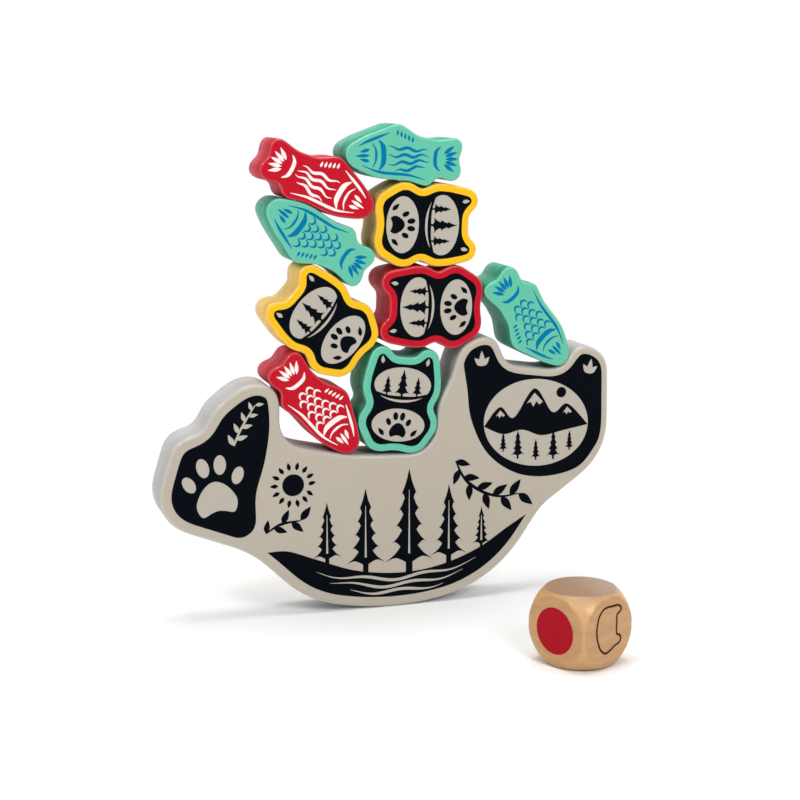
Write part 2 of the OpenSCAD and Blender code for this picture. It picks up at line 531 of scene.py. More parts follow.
class Shader(Graph):
    """A material and the short calls that build its node tree."""

    def __init__(self, name: str) -> None:
        """Starts the material with its output and its object coordinates.

        Args:
            name: name of the material.
        """
        self.material = bpy.data.materials.new(name)
        self.material.use_nodes = True
        super().__init__(self.material.node_tree)
        self.output = self.node("ShaderNodeOutputMaterial").inputs["Surface"]
        self.place = self.add("ShaderNodeTexCoord", pick="Object")

    def add(self, kind: str, *inputs: Any, pick: str = "", **settings: Any) -> Value:
        """Adds any node.

        Args:
            kind: Blender's name of the node type.
            *inputs: values for the node's enabled inputs, in order; None leaves one as it is.
            pick: name of the output that is handed back, if it isn't the first one enabled.
            **settings: attributes of the node, set before its inputs.

        Returns:
            The chosen output.
        """
        node = self.node(kind, **settings)
        for socket, value in zip([socket for socket in node.inputs if socket.enabled], inputs):
            self.feed(socket, value)
        if pick:
            return Value(self, node.outputs[pick])
        return Value(self, next(socket for socket in node.outputs if socket.enabled))

    def noise(self, place: Value, scale: float, detail: float, roughness: float = 0.5) -> Value:
        """Smooth noise between 0 and 1."""
        return self.add("ShaderNodeTexNoise", place, scale, detail, roughness)

    def blend(self, factor: Value, first: Any, second: Any) -> Value:
        """Mixes two colours.

        Args:
            factor: 0 for the first colour, 1 for the second.
            first: a Value or a screen colour.
            second: the same.

        Returns:
            The mixed colour.
        """
        node = self.node("ShaderNodeMix", data_type="RGBA")
        self.feed(node.inputs[0], factor)
        colours = [socket for socket in node.inputs if socket.type == "RGBA"]
        for socket, value in zip(colours, (first, second)):
            self.feed(socket, value if isinstance(value, Value) else linear(value))
        return Value(self, next(socket for socket in node.outputs if socket.type == "RGBA"))

    def normal(self) -> Value:
        """The direction that the surface faces, in the frame's axes."""
        return self.add("ShaderNodeNewGeometry", pick="Normal")

    def part(self, vector: Value, axis: Sequence[float]) -> Value:
        """How far a vector reaches along an axis."""
        return self.add("ShaderNodeVectorMath", vector, axis, operation="DOT_PRODUCT", pick="Value")

    def bump(self, height: Value, distance: float, strength: float) -> Value:
        """A normal tilted by a height field whose full step is distance millimetres."""
        return self.add("ShaderNodeBump", strength, distance * MM, None, height)

    def surface(self, **inputs: Any) -> bpy.types.Material:
        """Ends the tree with a principled surface.

        Args:
            **inputs: its inputs, with _ in their names for a space.

        Returns:
            The finished material.
        """
        named = {name.replace("_", " "): value for name, value in inputs.items()}
        self.feed(self.output, self.node("ShaderNodeBsdfPrincipled", named).outputs[0])
        return self.material


@dataclass(frozen=True)
class Mottle:
    """A smooth noise on a board.

    Attributes:
        pace: cycles for each millimetre along the board's x, the thickness and the board's z.
        detail: number of finer layers.
        roughness: strength of the finer layers.
    """

    pace: tuple[float, float, float]
    detail: float = 2.0
    roughness: float = 0.5

    def on(self, shader: Shader, turn: float = 0.0) -> Value:
        """Adds the noise to a shader.

        Args:
            shader: the shader.
            turn: degrees that the board is turned about Y.

        Returns:
            The noise, between 0 and 1.
        """
        scale = [part / MM for part in self.pace]
        rotation = (0, math.radians(turn), 0)
        place = shader.add("ShaderNodeMapping", shader.place, None, rotation, scale)
        return shader.noise(place, 1.0, self.detail, self.roughness)


@dataclass(frozen=True)
class Paint:
    """Satin paint on a sawn board, thinner on the sawn sides than on the faces.

    Attributes:
        name: name of the material.
        colour: its screen colours.
        turn: degrees that the board, and so its grain, is turned about Y.
        wood: screen colour towards which the sides' paint pales at the back.
        fade: how far it gets there, from 0 to 1.
        fade_from: depth from the board's middle at which it starts to pale.
        fade_to: depth at which it is palest.
        streaks: the saw's streaks on the sides.
        patches: uneven paint on the sides.
        cloud: uneven paint on the faces, and the uneven strength of the pale rims, which are partly worn
            paint and partly a painted highlight.
        speckle: the paint's own grain.
        bump_depth: height of the speckle and the streaks.
        coat_roughness: roughness of the gloss on the rounded rims.
        gloss: strength of the reflection elsewhere.
    """

    name: str
    colour: Colour
    turn: float = 0.0
    wood: Screen = (216, 206, 198)
    fade: float = 0.42
    fade_from: float = -7.0
    fade_to: float = 6.0
    streaks: Mottle = Mottle((0.05, 0.9, 0.35), 4.0, 0.6)
    patches: Mottle = Mottle((0.11, 0.2, 0.11))
    cloud: Mottle = Mottle((0.06, 0.06, 0.06))
    speckle: Mottle = Mottle((1.6, 1.6, 1.6))
    bump_depth: float = 0.02
    coat_roughness: float = 0.06
    gloss: float = 0.07

    def build(self) -> bpy.types.Material:
        """Builds the material.

        Returns:
            The material.
        """
        shader = Shader(self.name)
        # flat is 1 on a face and 0 on a side, and on_side and rim tell the side and the round edge.
        flat = shader.part(shader.normal(), (0, 1, 0)).size()
        on_side = flat.ramp(0.80, 0.35)
        rim = flat.ramp(0.12, 0.4) * flat.ramp(0.99, 0.8)
        streaks = self.streaks.on(shader, self.turn).ramp(0.38, 0.66)
        cloud = self.cloud.on(shader, self.turn)
        speckle = self.speckle.on(shader)
        face = shader.blend(cloud * 0.10, self.colour.face, self.colour.side)
        colour = shader.blend(on_side, face, self._side(shader, streaks))
        # Pale rims: partly worn paint and partly a painted highlight along the rounded edge, blended
        # towards white.
        worn_and_highlight = rim * cloud.ramp(0.3, 0.7, 0.05, 0.20)
        return shader.surface(
            Base_Color=shader.blend(worn_and_highlight, colour, towards(self.colour.face, WHITE, 0.5)),
            Roughness=speckle.ramp(0.2, 0.8, 0.40, 0.52) + on_side * 0.15,
            Specular_IOR_Level=self.gloss,
            Coat_Weight=rim + on_side * 0.03,
            Coat_Roughness=self.coat_roughness,
            Normal=shader.bump(speckle * 0.35 + streaks * on_side * 0.4, self.bump_depth, 0.5),
        )

    def _side(self, shader: Shader, streaks: Value) -> Value:
        """The colour of the sides.

        Args:
            shader: the shader.
            streaks: 1 in a streak of the saw, 0 beside it.

        Returns:
            The colour.
        """
        patches = self.patches.on(shader, self.turn).ramp(0.42, 0.62)
        grainy = streaks * 0.45 + patches * 0.35
        side = shader.blend(grainy, self.colour.side, self.colour.grain)
        depth = shader.part(shader.place, (0, 1, 0))
        back = depth.ramp(self.fade_from * MM, self.fade_to * MM) * streaks.ramp(0.0, 1.0, 0.85, 0.35)
        return shader.blend(back, side, towards(self.colour.side, self.wood, self.fade))


@dataclass(frozen=True)
class InkFinish:
    """Screen-printed ink on a painted face.

    Attributes:
        name: name of the material.
        colour: its screen colour.
        lift: how much brighter its thin spots are.
        cloud: the thin spots.
        speckle: the ink's own grain.
        bump_depth: height of the speckle.
        gloss: strength of the reflection.
    """

    name: str
    colour: Screen
    lift: float = 5.0
    cloud: Mottle = Mottle((0.08, 0.08, 0.08))
    speckle: Mottle = Mottle((2.2, 2.2, 2.2), 3.0)
    bump_depth: float = 0.012
    gloss: float = 0.03

    def build(self) -> bpy.types.Material:
        """Builds the material.

        Returns:
            The material.
        """
        shader = Shader(self.name)
        speckle = self.speckle.on(shader)
        thin = tuple(min(255.0, part + self.lift) for part in self.colour)
        return shader.surface(
            Base_Color=shader.blend(self.cloud.on(shader) * 0.4, self.colour, thin),
            Roughness=speckle.ramp(0.2, 0.8, 0.42, 0.56),
            Specular_IOR_Level=self.gloss,
            Normal=shader.bump(speckle, self.bump_depth, 0.5),
        )


@dataclass(frozen=True)
class BareWood:
    """Waxed pale wood of the die.

    Attributes:
        name: name of the material.
        turn: degrees that the die is turned about Z.
        tan: screen colour of the flat faces.
        ring: screen colour of their wider rings.
        streak: screen colour of the fine grain.
        edge_highlight: screen colour of the painted highlight on the rounded edges.
        top: screen colour of the top, painted darker and greyer than the sides as painted shade and
            reflection.
        pace: cycles of the grain for each metre along the die's own axes.
        wax: strength of the waxed coat.
        wax_roughness: roughness of the waxed coat.
        bump_depth: height of the grain.
    """

    name: str
    turn: float
    tan: Screen = (196, 149, 96)
    ring: Screen = (184, 135, 82)
    streak: Screen = (160, 114, 68)
    edge_highlight: Screen = (222, 180, 126)
    top: Screen = (141, 111, 88)
    pace: tuple[float, float, float] = (60.0, 420.0, 900.0)
    wax: float = 0.35
    wax_roughness: float = 0.18
    bump_depth: float = 0.03

    def build(self) -> bpy.types.Material:
        """Builds the material.

        Returns:
            The material.
        """
        shader = Shader(self.name)
        rotation = (0, 0, math.radians(-self.turn))
        place = shader.add("ShaderNodeMapping", shader.place, None, rotation, self.pace)
        streaks = shader.noise(place, 1.0, 5.0, 0.6)
        rings = shader.noise(place, 0.35, 2.0)
        axes = Matrix.Rotation(math.radians(self.turn), 3, "Z").transposed()
        normal = shader.normal()
        along, across, up = (shader.part(normal, axis) for axis in axes)
        flat = along.size().most(across.size()).most(up.size())
        colour = shader.blend(rings.ramp(0.3, 0.7), self.tan, self.ring)
        colour = shader.blend(streaks.ramp(0.5, 0.75) * 0.32, colour, self.streak)
        # Painted highlight: the rounded edges are lightened towards a pale tan, more strongly in the wider
        # rings.
        rounded = flat.ramp(0.985, 0.70) * rings.ramp(0.25, 0.75, 0.15, 0.50)
        colour = shader.blend(rounded, colour, self.edge_highlight)
        # Painted shade and reflection: the top face is blended towards a darker, greyer colour.
        colour = shader.blend(up.ramp(0.55, 0.98) * 0.8, colour, self.top)
        return shader.surface(
            Base_Color=colour,
            Roughness=streaks.ramp(0.2, 0.8, 0.38, 0.52),
            Coat_Weight=self.wax,
            Coat_Roughness=self.wax_roughness,
            Normal=shader.bump(streaks, self.bump_depth, 0.6),
        )


@dataclass(frozen=True)
class Pose:
    """Where a board's own axes lie in the frame.

    Attributes:
        x: the middle of its face.
        z: the middle of its face.
        turn: degrees that it is turned anticlockwise, seen from the front.
        flipped: whether it is mirrored.
        front: depth of its face.
    """

    x: float = 0.0
    z: float = 0.0
    turn: float = 0.0
    flipped: bool = False
    front: float = -10.75

    def matrix(self) -> Matrix:
        """The matrix that takes the board's axes to the frame.

        Returns:
            The matrix, in metres.
        """
        mirror = Matrix.Diagonal((-1.0 if self.flipped else 1.0, 1.0, 1.0, 1.0))
        turned = Matrix.Rotation(math.radians(-self.turn), 4, "Y")
        return Matrix.Translation(Vector((self.x, self.front, self.z)) * MM) @ turned @ mirror

    def local(self, outline: Loop) -> Loop:
        """An outline of the frame in the board's axes, anticlockwise."""
        return self._through(self.matrix().inverted(), outline)

    def world(self, outline: Loop) -> Loop:
        """An outline of the board's axes in the frame, anticlockwise."""
        return self._through(self.matrix(), outline)

    def _through(self, place: Matrix, outline: Loop) -> Loop:
        """Takes an outline to other axes.

        Args:
            place: the matrix that does it, in metres.
            outline: the outline, anticlockwise.

        Returns:
            The outline there, anticlockwise again.
        """
        spots = [place @ Vector((x * MM, 0.0, z * MM)) for x, z in outline]
        line = [(spot.x / MM, spot.z / MM) for spot in spots]
        return line[::-1] if self.flipped else line


def put(name: str, data: bpy.types.ID) -> bpy.types.Object:
    """Makes an object and links it to the scene.

    Args:
        name: name of the object.
        data: its mesh, light or camera.

    Returns:
        The object, at the origin.
    """
    made = bpy.data.objects.new(name, data)
    bpy.context.scene.collection.objects.link(made)
    return made


class Board:
    """A CAD node's board, made again in its place with smooth curves and an even round edge.

    Attributes:
        ROUND_STEPS: chords in the quarter round of the edge.
        AREA_WEIGHT: how much large faces count in the normals, at its most.
    """

    ROUND_STEPS = 5
    AREA_WEIGHT = 100

    def __init__(self, node: str) -> None:
        """Takes a copy of the node's mesh."""
        self.node = node
        self.object = self._welded()

    def _welded(self) -> bpy.types.Object:
        """Copies the node's mesh, welded, with its front and back as one face each.

        Returns:
            The new object.
        """
        source = bpy.data.objects[self.node]
        mesh = bpy.data.meshes.new(f"{self.node}_wood")
        shape = bmesh.new()
        shape.from_mesh(source.data)
        bmesh.ops.remove_doubles(shape, verts=shape.verts, dist=WELD)
        levels = [vert.co.y for vert in shape.verts]
        for level in (min(levels), max(levels)):
            flat = [
                face
                for face in shape.faces
                if all(abs(vert.co.y - level) < FLAT for vert in face.verts)
            ]
            bmesh.ops.dissolve_faces(shape, faces=flat, use_verts=False)
        for face in shape.faces:
            face.smooth = True
        shape.to_mesh(mesh)
        shape.free()
        return put(f"{self.node}_wood", mesh)

    def front(self) -> Loop:
        """Looks for the flat front face.

        Returns:
            Its outline in the frame's axes, anticlockwise.
        """
        mesh = self.object.data
        widest = max(mesh.polygons, key=lambda face: -face.normal.y * face.area)
        return [(mesh.vertices[i].co.x / MM, mesh.vertices[i].co.z / MM) for i in widest.vertices]

    def carve(self, outline: Loop, edge: float) -> None:
        """Makes the board from the outline of its flat front.

        Args:
            outline: even points, anticlockwise.
            edge: radius of the rounded edge at the front and the back.
        """
        levels = [vert.co.y / MM for vert in self.object.data.vertices]
        near, far = min(levels), max(levels)
        turns = [math.pi / 2 * step / self.ROUND_STEPS for step in range(self.ROUND_STEPS + 1)]
        rings = [(edge * math.sin(turn), near + edge * (1 - math.cos(turn))) for turn in turns]
        rings += [(out, near + far - depth) for out, depth in reversed(rings)]
        spots = [Vector(point) for point in outline]
        sides = outward(spots)
        count = len(spots)
        places = [
            ((spot.x + side.x * out) * MM, depth * MM, (spot.y + side.y * out) * MM)
            for out, depth in rings
            for spot, side in zip(spots, sides)
        ]
        back = range(len(places) - 1, len(places) - count - 1, -1)
        faces: list[Sequence[int]] = [range(count), back]
        for start in range(0, len(places) - count, count):
            for index in range(count):
                after = (index + 1) % count
                faces.append((start + index, start + count + index, start + count + after, start + after))
        mesh = bpy.data.meshes.new(f"{self.node}_wood")
        mesh.from_pydata(places, [], faces)
        mesh.shade_smooth()
        self.object.data = mesh

    def shade(self) -> None:
        """Weights the normals by face area, so that flat faces stay flat."""
        modifier = self.object.modifiers.new("weights", "WEIGHTED_NORMAL")
        modifier.weight = self.AREA_WEIGHT
        graph = bpy.context.evaluated_depsgraph_get()
        mesh = bpy.data.meshes.new_from_object(self.object.evaluated_get(graph))
        self.object.modifiers.remove(modifier)
        self.object.data = mesh

    def finish(self, material: bpy.types.Material) -> None:
        """Gives the board its material and lets it stand for the CAD node.

        Args:
            material: its paint or wood.
        """
        self.shade()
        self.object.data.materials.clear()
        self.object.data.materials.append(material)
        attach(self.object, BODY)
        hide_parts(self.node)
        LOG.info("%s: %d faces", self.object.name, len(self.object.data.polygons))


class Repeat:
    """A geometry tree that puts copies of one flat motif along every line of a mesh."""

    INPUTS = (
        ("Geometry", "NodeSocketGeometry"),
        ("Motif", "NodeSocketObject"),
        ("Spacing", "NodeSocketFloat"),
        ("Start Size", "NodeSocketFloat"),
        ("End Size", "NodeSocketFloat"),
        ("Spread", "NodeSocketFloat"),
        ("Ink", "NodeSocketMaterial"),
    )

    def __init__(self, name: str) -> None:
        """Builds the tree with its inputs.

        Args:
            name: name of the tree.
        """
        self.tree = bpy.data.node_groups.new(name, "GeometryNodeTree")
        self.sockets: dict[str, str] = {}
        for label, kind in self.INPUTS:
            item = self.tree.interface.new_socket(label, in_out="INPUT", socket_type=kind)
            self.sockets[label] = item.identifier
        self.tree.interface.new_socket("Geometry", in_out="OUTPUT", socket_type="NodeSocketGeometry")
        self._wire(Graph(self.tree))

    def _wire(self, graph: Graph) -> None:
        """Lines become evenly spaced points, and each point gets a turned and scaled motif.

        Args:
            graph: the tree.
        """
        given = graph.node("NodeGroupInput").outputs
        lines = graph.node("GeometryNodeMeshToCurve", {"Mesh": given["Geometry"]})
        length = graph.node("GeometryNodeSplineLength").outputs["Length"]
        gaps = graph.calc("ROUND", graph.calc("DIVIDE", length, given["Spacing"]))
        count = graph.calc("ADD", graph.calc("MAXIMUM", gaps, 1.0), 1.0)
        spots = graph.node("GeometryNodeResampleCurve", {"Curve": lines.outputs[0], "Count": count})
        motif = graph.node("GeometryNodeObjectInfo", {"Object": given["Motif"]})
        copies = graph.node(
            "GeometryNodeInstanceOnPoints",
            {
                "Points": spots.outputs[0],
                "Instance": motif.outputs["Geometry"],
                "Rotation": self._turn(graph, given),
                "Scale": self._size(graph, given),
            },
        )
        real = graph.node("GeometryNodeRealizeInstances", {"Geometry": copies.outputs[0]})
        inked = graph.node(
            "GeometryNodeSetMaterial",
            {"Geometry": real.outputs[0], "Material": given["Ink"]},
        )
        graph.node("NodeGroupOutput", {"Geometry": inked.outputs[0]})

    def _turn(self, graph: Graph, given: Any) -> bpy.types.NodeSocket:
        """Turns each motif along its line, and out from it to alternate sides.

        Args:
            graph: the tree.
            given: the outputs of its input node.

        Returns:
            The rotation.
        """
        ahead = graph.node("GeometryNodeInputTangent").outputs[0]
        along = graph.node(
            "FunctionNodeAlignRotationToVector",
            {"Vector": ahead},
            axis="X",
            pivot_axis="Y",
        )
        order = graph.node("GeometryNodeInputIndex").outputs[0]
        odd = graph.calc("MULTIPLY", graph.calc("MODULO", order, 2.0), 2.0)
        angle = graph.calc("MULTIPLY", graph.calc("SUBTRACT", odd, 1.0), given["Spread"])
        swing = graph.node("FunctionNodeAxisAngleToRotation", {"Axis": (0, 1, 0), "Angle": angle})
        turned = graph.node(
            "FunctionNodeRotateRotation",
            {"Rotation": along.outputs[0], "Rotate By": swing.outputs[0]},
            rotation_space="LOCAL",
        )
        return turned.outputs[0]

    def _size(self, graph: Graph, given: Any) -> bpy.types.NodeSocket:
        """Scales each motif by its place on the line.

        Args:
            graph: the tree.
            given: the outputs of its input node.

        Returns:
            The scale.
        """
        part = graph.node("GeometryNodeSplineParameter").outputs["Factor"]
        change = graph.calc("SUBTRACT", given["End Size"], given["Start Size"])
        return graph.calc("ADD", graph.calc("MULTIPLY", part, change), given["Start Size"])

    def run(self, lines: bpy.types.Object, **values: Any) -> bpy.types.Mesh:
        """Applies the tree to a mesh of lines.

        Args:
            lines: the object with the lines.
            **values: the tree's inputs, in lower case and with _ in their names for a space.

        Returns:
            The plain mesh.
        """
        modifier = lines.modifiers.new("repeat", "NODES")
        modifier.node_group = self.tree
        for label, value in values.items():
            modifier[self.sockets[label.replace("_", " ").title()]] = value
        graph = bpy.context.evaluated_depsgraph_get()
        mesh = bpy.data.meshes.new_from_object(lines.evaluated_get(graph))
        lines.modifiers.remove(modifier)
        return mesh


class Sheet:
    """The print of one board, drawn in the board's own axes, x to the right and z up.

    Attributes:
        LAYER: height of one layer of ink.
        ROW_LIFT: layers by which a row of motifs lies higher than an area.
    """

    LAYER = 0.02
    ROW_LIFT = 0.5

    def __init__(self, name: str, inks: dict[Ink, bpy.types.Material], repeat: Repeat) -> None:
        """Starts an empty print.

        Args:
            name: name of the printed piece.
            inks: the material of every ink.
            repeat: the tree that repeats motifs.
        """
        self.name = name
        self.inks = inks
        self.repeat = repeat
        self.used: list[Ink] = []
        self.shape = bmesh.new()

    def flat(self, loops: Sequence[Loop], holes: bool = False) -> bpy.types.Mesh:
        """Fills closed outlines.

        Args:
            loops: the outlines.
            holes: whether an outline inside another one is a hole in it.

        Returns:
            A flat mesh in the plane y = 0.
        """
        spots: list[Vector] = []
        edges: list[tuple[int, int]] = []
        for loop in loops:
            first = len(spots)
            spots.extend(Vector(point) for point in loop)
            edges.extend((first + i, first + (i + 1) % len(loop)) for i in range(len(loop)))
        places, _, faces, *_ = delaunay_2d_cdt(spots, edges, [], 1, JOIN)
        kept = []
        for face in faces:
            middle = sum((places[i] for i in face), Vector((0, 0))) / len(face)
            around = sum(encloses(loop, middle) for loop in loops)
            if around == 1 or (around and not holes):
                kept.append(face)
        mesh = bpy.data.meshes.new(self.name)
        mesh.from_pydata([(p.x * MM, 0.0, p.y * MM) for p in places], [], kept)
        return mesh

    def _take(self, mesh: bpy.types.Mesh, ink: Ink, layer: float) -> None:
        """Adds a mesh to the print.

        Args:
            mesh: a flat mesh, which is used up.
            ink: its ink.
            layer: steps above the paint.
        """
        if ink not in self.used:
            self.used.append(ink)
        known = len(self.shape.faces)
        spots = len(self.shape.verts)
        self.shape.from_mesh(mesh)
        self.shape.verts.ensure_lookup_table()
        self.shape.faces.ensure_lookup_table()
        for vert in self.shape.verts[spots:]:
            vert.co.y = -(layer + 1) * self.LAYER * MM
        for face in self.shape.faces[known:]:
            face.material_index = self.used.index(ink)
            face.normal_update()
            if face.normal.y > 0:
                face.normal_flip()
        bpy.data.meshes.remove(mesh)

    def fill(self, ink: Ink, layer: int, *loops: Loop) -> None:
        """Prints closed outlines as one area; where they overlap, they join."""
        self._take(self.flat(loops), ink, layer)

    def holed(self, ink: Ink, layer: int, *loops: Loop) -> None:
        """Prints one area whose inner outlines are left open."""
        self._take(self.flat(loops, holes=True), ink, layer)

    def row(
        self,
        ink: Ink,
        layer: int,
        motif: Loop,
        lines: Sequence[Sequence[Point]],
        spacing: float,
        sizes: tuple[float, float] = (1.0, 1.0),
        spread: float = 0.0,
    ) -> None:
        """Prints copies of a motif along smooth lines.

        Args:
            ink: the ink.
            layer: steps above the paint.
            motif: the outline, pointing along +x from the origin.
            lines: points that each line passes.
            spacing: distance between two copies.
            sizes: scale of the first and the last copy of a line.
            spread: degrees that copies turn out, to alternate sides.
        """
        places: list[tuple[float, float, float]] = []
        edges: list[tuple[int, int]] = []
        for line in lines:
            first = len(places)
            places.extend((x * MM, 0.0, z * MM) for x, z in curve(line))
            edges.extend((i, i + 1) for i in range(first, len(places) - 1))
        mesh = bpy.data.meshes.new("lines")
        mesh.from_pydata(places, edges, [])
        pattern = put("motif", self.flat([motif]))
        guide = put("lines", mesh)
        made = self.repeat.run(
            guide,
            motif=pattern,
            spacing=spacing * MM,
            start_size=sizes[0],
            end_size=sizes[1],
            spread=math.radians(spread),
            ink=self.inks[ink],
        )
        self._take(made, ink, layer + self.ROW_LIFT)
        bpy.data.objects.remove(guide)
        bpy.data.objects.remove(pattern)

    def lay(self, place: Matrix, mirrored: bool = False) -> None:
        """Puts the finished print on its board and lets it ride there.

        Args:
            place: where the board's axes lie in the frame.
            mirrored: whether the place mirrors the print.
        """
        mesh = bpy.data.meshes.new(self.name)
        bmesh.ops.transform(self.shape, matrix=place, verts=self.shape.verts)
        if mirrored:
            bmesh.ops.reverse_faces(self.shape, faces=self.shape.faces)
        self.shape.to_mesh(mesh)
        self.shape.free()
        for ink in self.used:
            mesh.materials.append(self.inks[ink])
        made = put(self.name, mesh)
        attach(made, BODY)
        LOG.info("%s: %d faces", self.name, len(mesh.polygons))


class Art(Protocol):
    """Anything that can be printed on a board."""

    def draw(self, sheet: Sheet, front: Loop) -> None:
        """Draws the whole print inside the outline of the board's flat front."""


@dataclass(frozen=True)
class BasePrint:
    """Woodland print of the bear base: hills, pines, a paw print, leaves and ripples.

    Attributes:
        head_margin: paint left bare round the head's print.
        foot_margin: paint left bare round the foot's print.
        edge: radius of the base's rounded edge.
        soft: reach over which the large areas' corners are rounded.
    """

    head_margin: float = 3.3
    foot_margin: float = 4.6
    edge: float = 2.0
    soft: float = 1.5

    def draw(self, sheet: Sheet, front: Loop) -> None:
        """Draws the whole print.

        Args:
            sheet: the sheet to draw on.
            front: outline of the base's flat front.
        """
        low = inset(front, self.foot_margin - self.edge)
        self._head(sheet, inset(front, self.head_margin - self.edge))
        self._window(sheet)
        self._foot(sheet, low)
        self._bank(sheet, low)
        self._sun(sheet)
        self._twigs(sheet)

    def _head(self, sheet: Sheet, line: Loop) -> None:
        """A dark head with a bud in each ear.

        Args:
            sheet: the sheet to draw on.
            line: outline with the margin left bare.
        """
        around = stretch(line, (95, 66), (31, 104))
        neck = [(31.5, 94), (33.5, 80), (41, 65), (54, 55.5), (69, 53), (84, 56.5)]
        chin = curve([around[-1], *neck, around[0]])
        sheet.fill(Ink.NAVY, 0, soften(around + chin[1:-1], self.soft))
        petals = ((0, 6.6), (42, 5), (-42, 5))
        for x, z, turn in ((38.2, 103.4, 92), (87.8, 97.6, 80)):
            buds = [moved(leaf(length, 2.3), x, z, turn + swing) for swing, length in petals]
            sheet.fill(Ink.STONE, 1, *buds)

    def _window(self, sheet: Sheet) -> None:
        """A round window on snowy hills, a sun, and pines in front of them.

        Args:
            sheet: the sheet to draw on.
        """
        window = oval(63.5, 77.2, 24.4, 19.2, -8, 96)
        sheet.fill(Ink.STONE, 1, window)
        low = stretch(window, (39.6, 77), (87.4, 74.5))
        ridge = curve([low[0], (46.5, 85), (53, 80), (62.5, 92.4), (71, 81.4), (78, 84.8), low[-1]])
        foot = curve([low[0], (48, 73), (57, 74.4), (66, 71.4), (76, 73), low[-1]])
        sheet.fill(Ink.NAVY, 2, foot + ridge[::-1][1:-1])
        cap = [(0, 0), (-3.6, -4.6), (-1.8, -3.9), (-0.6, -6.2), (1.0, -3.8), (2.2, -5.4), (3.9, -4.2)]
        for x, z, size in ((62.5, 90.5, 1.0), (46.7, 83.6, 0.56), (77.9, 83.5, 0.56)):
            sheet.fill(Ink.STONE, 3, moved(cap, x, z, 0, size))
        pines = ((48.2, 65.2, 8.8), (55, 61.6, 13), (63.4, 60.6, 9.6), (71.6, 60.4, 13.2), (79.2, 64, 9))
        sheet.fill(Ink.NAVY, 2, *(pine(x, z, height, height * 0.5) for x, z, height in pines))
        sheet.fill(Ink.NAVY, 2, oval(75.0, 90.0, 2.3, 2.3, steps=36))

    def _foot(self, sheet: Sheet, line: Loop) -> None:
        """A dark sole with a paw print and a twig.

        Args:
            sheet: the sheet to draw on.
            line: outline with the margin left bare.
        """
        around = stretch(line, (-54.5, 94), (-69, 34.5))
        ankle = curve([around[-1], (-62, 40), (-61.5, 54), (-57.5, 68), (-55.3, 82), around[0]])
        sheet.fill(Ink.NAVY, 0, soften(around + ankle[1:-1], 2 * self.soft))
        sheet.fill(Ink.STONE, 1, *paw(-78.2, 54.0, 17.2, 8))
        stem = [(-70.5, 75.5), (-67.5, 82), (-64.2, 87.5), (-61.2, 92)]
        sheet.fill(Ink.STONE, 1, ribbon(stem, (0.9, 0.9, 0.4)))
        sheet.row(Ink.STONE, 1, leaf(5.4, 2.1), [stem], 2.6, (1.0, 0.7), 50)

    def _bank(self, sheet: Sheet, line: Loop) -> None:
        """A dark bank with ripples, and pines that stand on it.

        Args:
            sheet: the sheet to draw on.
            line: outline with the margin left bare.
        """
        shore = stretch(line, (-57, 29), (60, 36))
        dip = [(50, 31), (37, 23), (20, 17), (2, 15), (-18, 17.5), (-36, 24), (-48, 28.5)]
        top = curve([shore[-1], *dip, shore[0]])
        pines = ((-31, 20.5, 28), (-14, 15.4, 38), (5.5, 13.8, 47), (23.5, 16.6, 36), (38.5, 22.6, 19))
        trees = [pine(x, z, height, height * 0.46, 5) for x, z, height in pines]
        sheet.fill(Ink.NAVY, 0, shore + top[1:-1], *trees)
        veins = [[(x, z + height * 0.2), (x, z + height * 0.8)] for x, z, height in pines]
        sheet.fill(Ink.STONE, 1, *(ribbon(vein, (0.9, 0.2)) for vein in veins))
        ripples = (self._ripple(rise, reach) for rise, reach in ((-2.7, 21), (0.2, 30), (3.2, 36)))
        sheet.fill(Ink.STONE, 1, *ripples)

    def _ripple(self, rise: float, reach: int, level: float = 9.6, gap: int = 3) -> Loop:
        """A thin ripple that follows the rocker.

        Args:
            rise: height over the ripples' middle level.
            reach: how far it goes to each side.
            level: the ripples' middle level.
            gap: distance between two points.

        Returns:
            Its outline.
        """
        bend, swing, pace = 0.0042, 0.8, 4.2
        line = [
            (x, level + rise + bend * x * x + swing * math.sin(x / pace - 0.4 * rise))
            for x in range(-reach, reach + 1, gap)
        ]
        return ribbon(line, (0.1, 1.3, 1.3, 0.1))

    def _sun(self, sheet: Sheet) -> None:
        """A sun with rays on the left.

        Args:
            sheet: the sheet to draw on.
        """
        x, z, core, rim, count = -45.5, 57.0, 4.7, 6.4, 14
        sheet.fill(Ink.NAVY, 0, oval(x, z, core, core))
        turns = [2 * math.pi * number / count for number in range(count)]
        circle = [(x + rim * math.cos(turn), z + rim * math.sin(turn)) for turn in turns]
        sheet.row(Ink.NAVY, 0, moved(leaf(3.6, 1.7), 0, 0, -90), [circle], 2 * math.pi * rim / count)

    def _twigs(self, sheet: Sheet) -> None:
        """A twig under the sun, and a leafy branch on the right.

        Args:
            sheet: the sheet to draw on.
        """
        twig = [(-57.5, 37), (-51, 40.5), (-42.5, 41.5)]
        sheet.fill(Ink.NAVY, 0, ribbon(twig, (0.5, 1.3, 0.5)))
        sheet.row(Ink.NAVY, 0, leaf(7.4, 3.1), [twig], 3.7, (0.8, 1.0), 48)
        branch = [(26.5, 62.5), (31, 54), (39, 48), (47.5, 45.4), (55.5, 46.2)]
        sheet.fill(Ink.NAVY, 0, ribbon(branch, (0.6, 1.5, 1.2, 0.5)))
        sheet.row(Ink.NAVY, 0, leaf(8.8, 3.6), [branch], 4.3, (0.8, 1.0), 48)


